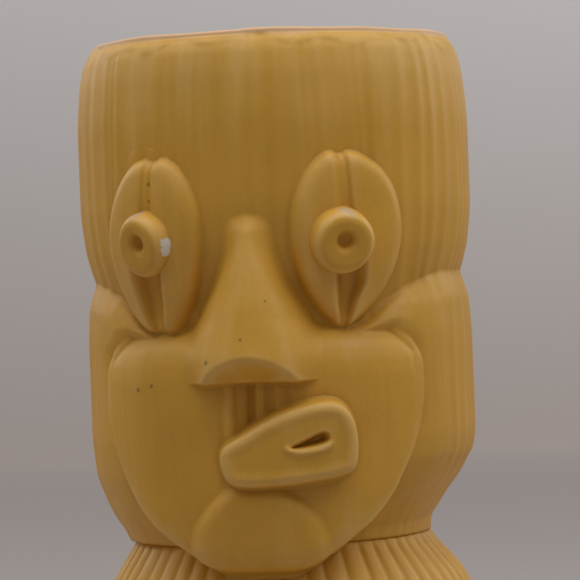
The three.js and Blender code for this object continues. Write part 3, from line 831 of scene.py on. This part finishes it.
def make_head_vessel(material):
    s = np.arange(COLUMNS) / COLUMNS * TURN
    outside = np.concatenate([
        np.linspace(NECK_Z, 62, 8), np.linspace(64, 94, 11), np.linspace(95, 154, 60),
        np.linspace(154.5, RIM_Z - 1.3, 17),
    ])
    lip_r, lip_z = section_rows([
        (37.95, RIM_Z - 1.0), (37.9, RIM_Z - 0.5), (37.45, RIM_Z - 0.12), (36.8, RIM_Z),
        (36.2, RIM_Z - 0.15), (35.75, RIM_Z - 0.7), (35.5, RIM_Z - 1.8),
    ], 14)
    in_r, in_z = section_rows([
        (35.4, RIM_Z - 2.6), (36.4, 150), (36.9, 140), (36.2, 121), (33.8, 107), (33.2, 76), (29.8, 64),
        (26.4, NECK_Z),
    ], 34)
    spigot_r = np.array([26.4, 26.4, 28.6, 28.6])
    spigot_z = np.array([NECK_Z - 2.4, HEAD_LOW[2], HEAD_LOW[2], NECK_Z - 0.2])
    smooth_r = np.concatenate([lip_r, in_r, spigot_r])
    smooth_z = np.concatenate([lip_z, in_z, spigot_z])
    grid_s, grid_z = np.meshgrid(s, outside)
    carved = head_cup(grid_s, grid_z)
    wave = 0.12 * np.sin(s / 9 + 1) + 0.08 * np.sin(s / 3.7)  # the rim is finished by hand
    near_rim = fade(smooth_z, RIM_Z - 6, RIM_Z)[:, None]
    radii = np.concatenate([carved, smooth_r[:, None] + 0 * s])
    heights = np.concatenate([grid_z, smooth_z[:, None] - 0.15 * near_rim + near_rim * wave[None, :]])
    heights = np.minimum(heights, RIM_Z)
    relief = np.zeros(radii.shape)
    relief[: len(outside)] = head_relief(grid_s, grid_z)
    return turned_piece("head_vessel", radii, heights, relief, material, closed_loop=True)


def make_torso_vessel(material):
    s = np.arange(COLUMNS) / COLUMNS * TURN
    outside = np.linspace(TORSO_BOTTOM_Z + 0.9, NECK_Z - 0.3, 96)
    bottom_r = np.array([12.0, 29.6, 32.6, 34.2, 34.9])
    bottom_z = TORSO_BOTTOM_Z + np.array([0.3, 0.3, 0.3, 0.35, 0.6])
    in_r, in_z = section_rows([
        (29.7, NECK_Z - 0.25), (28.9, NECK_Z - 0.25), (28.9, NECK_Z - 5.1), (26.6, NECK_Z - 5.1), (30.4, 46),
        (34, 41), (36.4, 32), (34.6, 17), (30, 10.6), (16, 9.7), (2, 9.6),
    ], 48)
    grid_s, grid_z = np.meshgrid(s, outside)
    carved = torso_cup(grid_s, grid_z)
    radii = np.concatenate([bottom_r[:, None] + 0 * s, carved, in_r[:, None] + 0 * s])
    heights = np.concatenate([bottom_z[:, None] + 0 * s, grid_z, in_z[:, None] + 0 * s])
    relief = np.zeros(radii.shape)
    relief[len(bottom_r): len(bottom_r) + len(outside)] = torso_relief(grid_s, grid_z)
    return turned_piece("torso_vessel", radii, heights, relief, material, closed_loop=False)


def make_foot_ring(material):
    columns = 240
    top = FOOT_HIGH[2] - 1.2
    outer, inner = FOOT_HIGH[0] - AXIS_X, 29.5
    profile_r, profile_z = section_rows([
        (inner, 2), (inner, 0.9), (inner + 0.7, 0.05), (inner + 1.4, 0), (outer - 1.8, 0),
        (outer - 0.9, 0.2), (outer - 0.4, 1.2), (outer, top), (outer - 0.3, top + 0.2),
        (inner + 0.3, top + 0.2), (inner, top), (inner, 2.2),
    ], 72)
    row = np.zeros(columns)
    radii = profile_r[:, None] + row
    heights = np.maximum(profile_z[:, None], 0) + row
    return turned_piece("foot_ring", radii, heights, 0 * radii, material, closed_loop=True)


# ---------------------------------------------------------------- the pressed pieces

def spaced(start, end, step):
    return np.linspace(start, end, int(abs(end - start) / step) + 2)


def wipe(heights, left, right, step):
    """A grid of places with level rows between two sides."""
    share = np.linspace(0, 1, int(np.max(right(heights) - left(heights)) / step) + 2)[None, :]
    z = heights[:, None]
    s = left(z) + (right(z) - left(z)) * share
    return s, z + 0 * s


def level(value):
    """An edge at the same place at every height."""
    return lambda z: value + 0 * z


MARGIN = OVERLAP + SINK_WIDTH + 0.3  # how far a piece's mesh runs past its own outline
LOCK_FRONT = 13  # a side lock starts here, hidden under the face

# How far past its own outline a piece carries the fillet that joins it to its surroundings.
HAIR_REACH = 3.2
BACK_HAIR_REACH = 3.0
CHEEK_REACH = 3.2
NOSE_REACH = 3.2
LID_REACH = 2.6
MOUTH_REACH = 1.2
HAIR_REACH_UP = 5.2  # the hair's pieces rise this far over its top, as its border slopes back there


def make_side_lock(side, material):
    """From under the face round to the back hair."""
    name = f"side_lock_{SIDES[side]}"
    heights = spaced(NECK_Z - 0.25, HAIR_TOP_Z + HAIR_REACH_UP, 0.5)
    s, z = wipe(heights, level(LOCK_FRONT), level(SIDE_LOCK_END + MARGIN), 0.42)
    if side < 0:
        s, z = -s[:, ::-1], z[:, ::-1]
    past = np.maximum(np.abs(s) - SIDE_LOCK_END, -lock_distances[side](s, z) - HAIR_REACH)
    front = sunk(hair(s, z), past)
    return pressed_piece(name, s, z, front, cup(s, z) - EMBED - SINK, material)


def make_back_hair(material):
    heights = spaced(NECK_Z - 0.25, HAIR_TOP_Z + HAIR_REACH_UP, 0.5)
    s, z = wipe(heights, level(SIDE_LOCK_END - MARGIN), level(TURN - SIDE_LOCK_END + MARGIN), 0.42)
    past = np.maximum.reduce([
        SIDE_LOCK_END - s, s - (TURN - SIDE_LOCK_END), z - HAIR_TOP_Z - BACK_HAIR_REACH,
    ])
    front = sunk(hair(s, z), past)
    return pressed_piece("back_hair", s, z, front, cup(s, z) - EMBED - SINK, material)


def cheek_inner_edge(z):
    beside_lip = np.where(z > NOSE_BASE_Z, nose_edge(z) - 1.6, LIP_HALF_WIDTH)
    return np.where(z < LIP_Z, chin_half_width(z), beside_lip)


def make_cheek(side, material):
    name = f"cheek_{SIDES[side]}"
    heights = np.concatenate([spaced(53.4, 90, 0.42), spaced(90.3, FACE_TOP_Z + 3.6, 0.3)])
    s, z = wipe(heights, lambda z: cheek_inner_edge(z) - MARGIN,
                lambda z: face_edge(np.minimum(z, 92)) + 4.8, 0.36)
    if side < 0:
        s, z = -s[:, ::-1], z[:, ::-1]
    past = np.maximum(cheek_inner_edge(z) - np.abs(s), -face_distance(s, z) - CHEEK_REACH)
    front = sunk(face(s, z), past)
    return pressed_piece(name, s, z, front, hair(s, z) - EMBED - SINK, material)


def make_chin(material):
    """Its lowest rows follow the jaw's round lower edge."""
    rows = spaced(FACE_BOTTOM_Z - 1.6, LIP_Z + MARGIN, 0.33)
    share = np.linspace(-1, 1, 100)[None, :]
    rows = rows[:, None]
    s = share * (chin_half_width(rows) + MARGIN)
    lift = through([(0, 0), (7.5, 0), (10.5, 1.0), (14.6, 2.9), (16, 4.0)])(np.abs(s))
    z = rows + lift * fade(rows, 60, FACE_BOTTOM_Z)
    past = np.maximum(np.abs(s) - chin_half_width(z), z - LIP_Z)
    front = sunk(face(s, z), past)
    back = np.minimum(cup(s, z), front) - EMBED
    return pressed_piece("chin", s, z, front, back, material)


def make_upper_lip(material):
    heights = spaced(LIP_Z - MARGIN, NOSE_BASE_Z + 2, 0.4)
    s, z = wipe(heights, level(-LIP_HALF_WIDTH - MARGIN), level(LIP_HALF_WIDTH + MARGIN), 0.2)
    past = np.maximum(np.abs(s) - LIP_HALF_WIDTH, LIP_Z - z)
    front = sunk(face(s, z), past)
    return pressed_piece("upper_lip", s, z, front, cup(s, z) - EMBED, material)


def make_nose(material):
    heights = np.concatenate([spaced(NOSE_BASE_Z - 1.6, 97, 0.2), spaced(97.3, NOSE_TOP_Z + 3, 0.33)])
    s, z = wipe(heights, lambda z: -nose_edge(z) - 4.6, lambda z: nose_edge(z) + 4.6, 0.3)
    past = np.maximum.reduce([
        np.abs(s) - nose_edge(z) - NOSE_REACH, NOSE_BASE_Z - 1.0 - z, z - NOSE_TOP_Z - 1.6,
    ])
    front = sunk(nose(s, z) - TUCK, past)
    return pressed_piece("nose", s, z, front, cup(s, z) - EMBED, material)


def make_lid(side, outer, material):
    """Half an eye, beside the slit."""
    name = f"eye_{SIDES[side]}_{'outer' if outer else 'inner'}_lid"
    heights = spaced(EYE_BOTTOM_Z - 3.6, EYE_TOP_Z + 3.6, 0.33)
    edge = eye_outer_edge[side] if outer else eye_inner_edge[side]
    lid = 1 if outer else -1
    widths = np.abs(edge(heights) - slit_line(side, heights)) + 4.4
    share = np.concatenate([np.linspace(-0.02, 0.12, 16), np.linspace(0.14, 1, 36)])
    out = share[None, :] * widths[:, None]
    z = heights[:, None] + 0 * out
    s = side * (slit_line(side, z) + lid * out)
    if side * lid < 0:
        s, z = s[:, ::-1], z[:, ::-1]
    past = -eye_distances[side](s, z) - LID_REACH
    front = sunk(eyes(s, z) - TUCK, past)
    return pressed_piece(name, s, z, front, cup(s, z) - EMBED, material)


def make_mouth(material):
    """Rings that follow the outline, closing in on the slit."""
    count = 320
    turn = np.linspace(0, 2 * math.pi, count, endpoint=False)
    outline = np.array(mouth_outline) - MOUTH_MIDDLE
    angles = np.unwrap(np.arctan2(outline[:, 1], outline[:, 0]))
    order = np.argsort(angles % (2 * math.pi))
    ring = np.interp(turn, (angles % (2 * math.pi))[order], np.hypot(*outline.T)[order],
                     period=2 * math.pi)
    shares = np.concatenate([np.linspace(0.015, 0.86, 62), np.linspace(0.87, 1, 16)])
    skirt = np.linspace(0.15, 2.6, 13)
    reach = np.concatenate([shares[:, None] * ring, ring + skirt[:, None]])
    s = MOUTH_MIDDLE[0] + reach * np.cos(turn)
    z = MOUTH_MIDDLE[1] + reach * np.sin(turn)
    past = -mouth_distance(s, z) - MOUTH_REACH
    front = sunk(mouth(s, z) - TUCK, past)
    back = face(s, z) - EMBED - SINK
    rows = len(reach)
    points = np.concatenate([on_cup(s, z, front).reshape(-1, 3), on_cup(s, z, back).reshape(-1, 3)])
    outer = grid_faces(rows, count, wrap=True)[:, ::-1]
    inner = grid_faces(rows, count, rows * count, wrap=True)
    index = np.arange(rows * count).reshape(rows, count)
    last, ahead = index[-1], np.roll(index[-1], -1)
    wall = np.stack([last, last + rows * count, ahead + rows * count, ahead], 1)[:, ::-1]
    faces = np.concatenate([outer, inner, wall]).tolist()
    faces.append(index[0].tolist())
    faces.append((index[0] + rows * count)[::-1].tolist())
    values = np.concatenate([head_relief(s, z).ravel(), np.zeros(rows * count)])
    return make_piece("mouth", points, faces, values, material, ["mouth"])


# ---------------------------------------------------------------- the pupils

PUPIL_RADIUS = 6.4
PUPIL_TALLER = 1.03
PUPIL_HEIGHT = 4.9
PUPIL_TILT = math.radians(13)
HIGHLIGHT_ACROSS = 0.6  # a painted highlight at the top of both pupils, a little outwards
HIGHLIGHT_UP_AND_OUT = (6.6, 2.4)
CHIP_PLACE = (6.2, -0.4, 2.3)  # across, up and out on the left pupil, on the nose's side
# Each pupil's seat: arc length, height, turn to the viewer's right, how far out it sits, and how far its
# dimple lies above its middle.
PUPIL_SEATS = {
    -1: (-21.3, 117.6, math.radians(-37), 41.3, 0.8),
    1: (18.7, 116.7, math.radians(23), 42.4, 0.6),
}


def pupil_place(side):
    """The pupil's own frame, in metres, with +Z along its axis and +Y up."""
    s, z, turn, radius, _ = PUPIL_SEATS[side]
    seat = on_cup(np.array(s), np.array(z), radius) * MM
    tilt = Matrix.Rotation(math.pi / 2 + PUPIL_TILT, 4, "X")
    return Matrix.Translation(Vector(seat)) @ Matrix.Rotation(turn, 4, "Z") @ tilt


def make_pupil(side, material):
    name = f"pupil_{SIDES[side]}"
    columns = 144
    edge, top = PUPIL_RADIUS, PUPIL_HEIGHT
    profile_r, profile_z = section_rows([
        (edge + 0.3, -1.5), (edge + 0.2, 0.4), (edge, 1.6), (edge - 0.05, top - 2.4),
        (edge - 0.45, top - 1.2), (edge - 1.2, top - 0.35), (edge - 2.3, top),
        (2.7, top - 0.05), (2.1, top - 0.3), (1.6, top - 0.9), (1.3, top - 1.6), (0.9, top - 1.95),
        (0.15, top - 2.0),
    ], 64)
    turn = np.linspace(0, 2 * math.pi, columns, endpoint=False)
    lump = 1 + 0.012 * np.sin(2 * turn + side) + 0.008 * np.sin(3 * turn + 2)
    rise = PUPIL_SEATS[side][4] * fade(profile_r, 4.5, 1.5) * fade(profile_z, 1, 3)
    x = profile_r[:, None] * lump * np.cos(turn)
    y = profile_r[:, None] * lump * np.sin(turn) * PUPIL_TALLER + rise[:, None]
    z = profile_z[:, None] + 0 * turn
    points = np.stack([x, y, z], -1).reshape(-1, 3)
    rows = len(profile_r)
    faces = grid_faces(rows, columns, wrap=True).tolist()
    index = np.arange(rows * columns).reshape(rows, columns)
    faces.append(index[0, ::-1].tolist())
    faces.append(index[-1].tolist())
    height = profile_z - top
    ridge = 0.5 * np.exp(-(((profile_r - edge + 0.7) / 0.6) ** 2)) * (height > -2)
    hole = -0.8 * np.exp(-((profile_r / 1.4) ** 2))
    relief = np.repeat(ridge + hole - 0.6 * fade(profile_z, 2.6, 0.6), columns)
    world = np.array(pupil_place(side))
    placed = points @ world[:3, :3].T + world[:3, 3] / MM
    return make_piece(name, placed, faces, relief, material, [name])


# ---------------------------------------------------------------- the mug

glaze = make_glaze()
make_head_vessel(make_rim_glaze())
make_torso_vessel(glaze)
make_foot_ring(make_bare_clay())
make_back_hair(glaze)
make_chin(glaze)
make_upper_lip(glaze)
make_nose(glaze)
make_mouth(glaze)
for side in SIDES:
    make_side_lock(side, glaze)
    make_cheek(side, glaze)
    for outer in (False, True):
        make_lid(side, outer, glaze)
    place = pupil_place(side)
    # the painted highlight sits on the pupil's top edge
    painted_highlight = place @ (Vector((HIGHLIGHT_ACROSS * side, *HIGHLIGHT_UP_AND_OUT)) * MM)
    chip = place @ (Vector(CHIP_PLACE) * MM) if side < 0 else None
    make_pupil(side, make_pupil_glaze(f"pupil_glaze_{SIDES[side]}", painted_highlight, chip))


# ---------------------------------------------------------------- stage, light and camera

STAGE_PAPER = (0.40, 0.36, 0.345)
WALL_GLOW_TOP = 0.36  # height in metres where the wall's own glow is strongest
WALL_GLOW_LOW = (0.14, 0.12, 0.11)
WALL_GLOW_HIGH = (0.345, 0.34, 0.34)


def make_stage_paper():
    """Pale paper that glows behind the mug, more towards the top and the right. Elsewhere it hardly
    glows, as that would light the mug."""
    nodes = Nodes("stage_paper")
    nodes.shader.inputs["Base Color"].default_value = (*STAGE_PAPER, 1)
    nodes.shader.inputs["Roughness"].default_value = 0.9
    height = nodes.remap(nodes.along("Z"), 0.0, WALL_GLOW_TOP)
    nodes.link(nodes.mix(height, WALL_GLOW_LOW, WALL_GLOW_HIGH), "Emission Color")
    paler = nodes.remap(nodes.along("X"), -0.5, 0.5, 0.84, 1.14)
    behind = nodes.remap(nodes.along("Y"), 0.3, 1.3, 0.08, 1.0)
    flat_place = nodes.add("VectorMath", {0: nodes.place((1, 1, 0))}, operation="LENGTH")
    outwards = nodes.remap(flat_place.outputs["Value"], 0.5, 1.3)
    strength = nodes.math("MULTIPLY", nodes.math("MULTIPLY", outwards, behind), paler)
    nodes.link(strength, "Emission Strength")
    return nodes.material


def make_stage():
    """A round pale floor that curves up into a wall, with the same shape on every side."""
    flat, bend, wall = 1.3, 0.5, 1.6
    turn = np.linspace(0, math.pi / 2, 13)
    r = np.concatenate([[0.05, 0.4, 0.9], flat + bend * np.sin(turn), [flat + bend]])
    z = np.concatenate([[0, 0, 0], bend - bend * np.cos(turn), [wall]])
    columns = 96
    spin = np.linspace(0, 2 * math.pi, columns, endpoint=False)
    points = np.stack([r[:, None] * np.cos(spin), r[:, None] * np.sin(spin), z[:, None] + 0 * spin], -1)
    faces = grid_faces(len(r), columns, wrap=True)[:, ::-1].tolist()
    faces.append(list(range(columns)))
    mesh = bpy.data.meshes.new("stage")
    mesh.from_pydata(points.reshape(-1, 3), [], faces)
    mesh.shade_smooth()
    mesh.materials.append(make_stage_paper())
    stage = bpy.data.objects.new("stage", mesh)
    bpy.context.scene.collection.objects.link(stage)


LIGHT_TARGET = (0, 0, 0.1)
# Each lamp's place and disk width in metres, and its power in watts.
LIGHTS = {
    "overhead": ((0, 0, 1.1), 0.9, 4.6),
    "front_high": ((0, -0.6, 1.0), 0.7, 1.7),
    "right_high": ((0.7, -0.2, 0.9), 0.7, 3.0),
    "left_high": ((-0.7, -0.2, 0.9), 0.7, 2.2),
    "right_rear": ((0.9, 0.6, 0.6), 0.7, 1.7),
    "left_rear": ((-0.9, 0.6, 0.6), 0.7, 1.7),
}


def make_light(name, place, size, power):
    light = bpy.data.lights.new(name, "AREA")
    light.shape = "DISK"
    light.size = size
    light.energy = power
    lamp = bpy.data.objects.new(name, light)
    lamp.location = place
    lamp.rotation_euler = (Vector(LIGHT_TARGET) - Vector(place)).to_track_quat("-Z", "Y").to_euler()
    lamp.visible_camera = False
    bpy.context.scene.collection.objects.link(lamp)


WORLD_COLOUR = (1.0, 0.99, 0.98)
WORLD_STRENGTH = 0.03


def make_world():
    world = bpy.data.worlds.new("studio")
    world.use_nodes = True
    background = world.node_tree.nodes["Background"]
    background.inputs["Color"].default_value = (*WORLD_COLOUR, 1)
    background.inputs["Strength"].default_value = WORLD_STRENGTH
    bpy.context.scene.world = world


CAMERA_DISTANCE = 0.634
CAMERA_HEIGHT = 0.107
CAMERA_AZIMUTH = math.radians(8.25)
CAMERA_ROLL = math.radians(2.25)
CAMERA_AIM = math.radians(0.216)  # the camera aims a little to the right of the cup's axis
CAMERA_LENS = 184.5


def make_camera():
    data = bpy.data.cameras.new("camera")
    data.lens = CAMERA_LENS
    data.sensor_width = 36
    data.clip_start = 0.01
    camera = bpy.data.objects.new("camera", data)
    turn = CAMERA_AZIMUTH - CAMERA_AIM
    ahead = Vector((-math.sin(turn), math.cos(turn), 0))
    right = Vector((math.cos(turn), math.sin(turn), 0))
    up = Vector((0, 0, 1))
    x = right * math.cos(CAMERA_ROLL) - up * math.sin(CAMERA_ROLL)
    y = right * math.sin(CAMERA_ROLL) + up * math.cos(CAMERA_ROLL)
    rotation = Matrix((x, y, -ahead)).transposed().to_4x4()
    axis = Vector((AXIS_X * MM, AXIS_Y * MM, CAMERA_HEIGHT))
    back = Vector((math.sin(CAMERA_AZIMUTH), -math.cos(CAMERA_AZIMUTH), 0))
    camera.matrix_world = Matrix.Translation(axis + back * CAMERA_DISTANCE) @ rotation
    bpy.context.scene.collection.objects.link(camera)
    bpy.context.scene.camera = camera


make_stage()
make_world()
for name, (place, size, power) in LIGHTS.items():
    make_light(name, place, size, power)
make_camera()
bpy.context.scene.view_settings.view_transform = "Standard"
